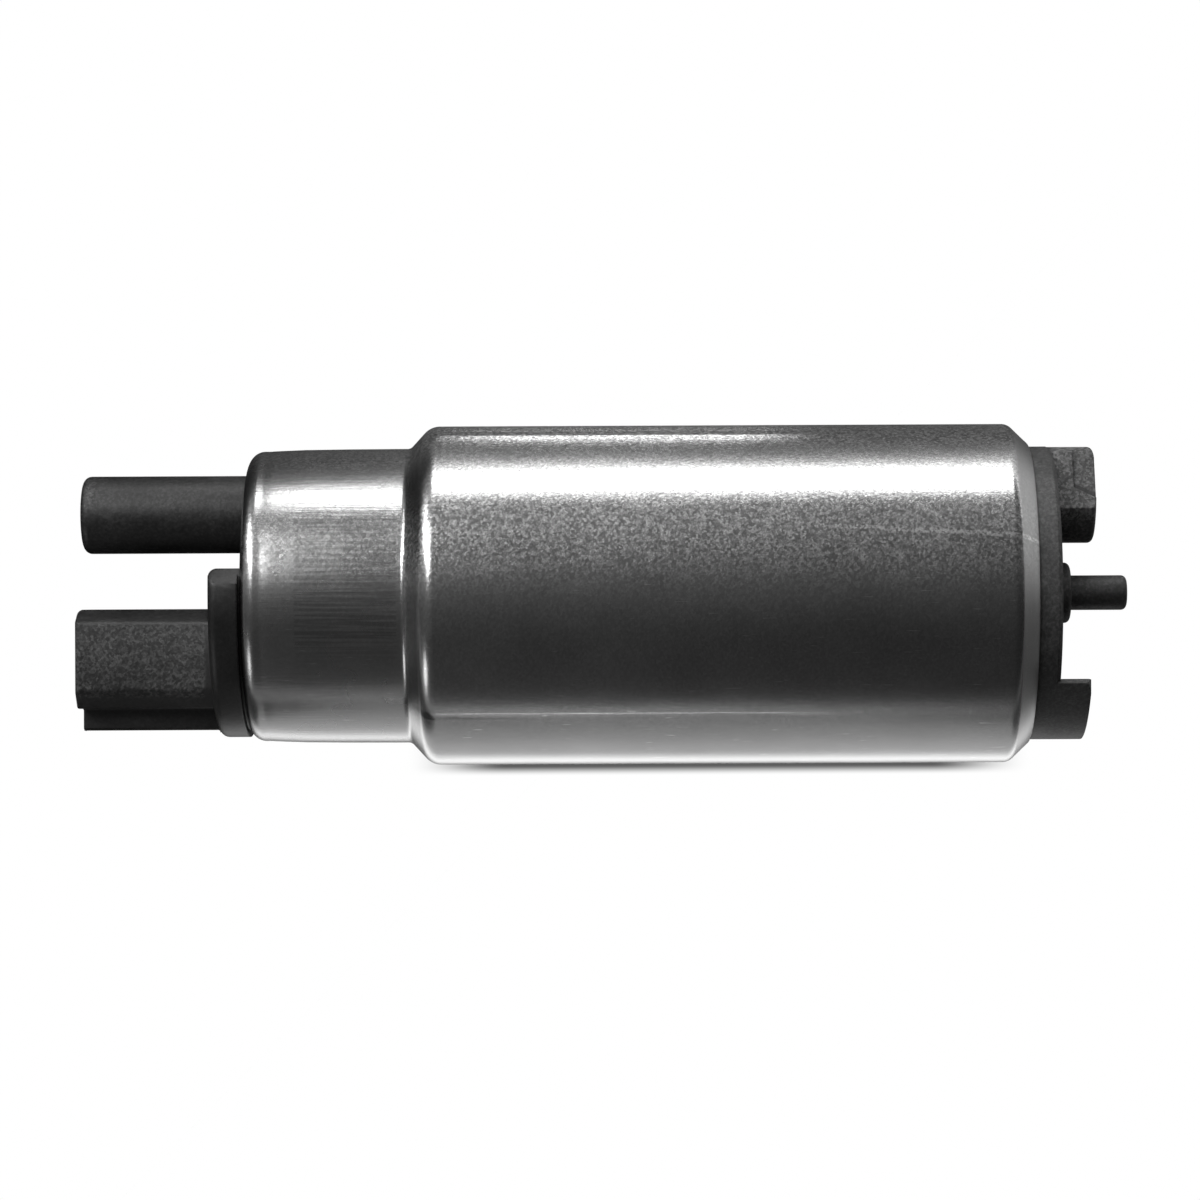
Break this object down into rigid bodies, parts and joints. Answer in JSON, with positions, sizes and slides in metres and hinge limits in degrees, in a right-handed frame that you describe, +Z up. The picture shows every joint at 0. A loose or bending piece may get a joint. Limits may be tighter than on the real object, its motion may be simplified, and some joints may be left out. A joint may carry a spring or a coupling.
{
  "type": "electric fuel pump",
  "caption": "In-tank electric fuel pump: a turbine pump and its motor in a stepped steel can, with a hose nipple and connector at one end and an inlet at the other.",
  "frame": {"origin": "on the pump axis at the middle of the barrel", "axes": "+X along the pump axis towards the inlet end, +Y towards the outlet nipple's side, +Z up as the pump lies on its side"},
  "size_m": [0.1174, 0.038, 0.038],
  "materials": {
    "steel": "satin",
    "black_plastic": "fine moulded grain",
    "grey_plastic": "matte",
    "rubber": "matte",
    "bronze": "sintered",
    "brass": "plain",
    "ferrite": "matte",
    "copper": "enamelled",
    "carbon": "matte",
    "spring_steel": "ground",
    "plain_steel": "zinc plated",
    "lamination": "laminated",
    "resin": "moulded",
    "die_cast": "as cast"
  },
  "bodies": {
    "pump_body": {"case": "steel", "outlet_cover": "black_plastic", "inlet_cover": "black_plastic", "outlet_o_ring": "rubber", "brush_holder": "grey_plastic", "outlet_bearing": "bronze", "terminal_positive": "brass", "terminal_negative": "brass", "choke_core_positive": "ferrite", "choke_core_negative": "ferrite", "choke_coil_positive": "copper", "choke_coil_negative": "copper", "brush_guide_positive": "brass", "brush_guide_negative": "brass", "brush_spring_positive": "spring_steel", "brush_spring_negative": "spring_steel", "brush_shunt_positive": "copper", "brush_shunt_negative": "copper", "valve_spring": "spring_steel", "valve_retainer": "grey_plastic", "flux_ring": "plain_steel", "magnet_upper": "ferrite", "magnet_lower": "ferrite", "magnet_clips": "spring_steel", "pump_housing": "die_cast", "pump_bearing": "bronze", "thrust_button": "spring_steel", "inlet_o_ring": "rubber"},
    "rotor": {"shaft": "spring_steel", "armature_core": "lamination", "armature_insulators": "resin", "armature_winding": "copper", "commutator_hub": "resin", "commutator_segments": "copper", "impeller": "grey_plastic"},
    "check_valve": {"valve_poppet": "grey_plastic", "valve_seal": "rubber"},
    "positive_brush": {"brush_positive": "carbon"},
    "negative_brush": {"brush_negative": "carbon"}
  },
  "joints": [
    {"name": "rotor_spin", "type": "hinge", "parent": "pump_body", "child": "rotor", "pos_m": [0, 0, 0], "axis": [1, 0, 0], "continuous": true},
    {"name": "check_valve_lift", "type": "slide", "parent": "pump_body", "child": "check_valve", "axis": [-1, 0, 0], "range_m": [0, 0.0016], "stiffness_N_per_m": 50, "springref_m": -0.002, "deforming": ["valve_spring"]},
    {"name": "brush_positive_slide", "type": "slide", "parent": "pump_body", "child": "positive_brush", "axis": [-1, 0, 0], "range_m": [0, 0.0025], "stiffness_N_per_m": 60, "springref_m": -0.008, "deforming": ["brush_spring_positive", "brush_shunt_positive"]},
    {"name": "brush_negative_slide", "type": "slide", "parent": "pump_body", "child": "negative_brush", "axis": [-1, 0, 0], "range_m": [0, 0.0025], "stiffness_N_per_m": 60, "springref_m": -0.008, "deforming": ["brush_spring_negative", "brush_shunt_negative"]}
  ]
}
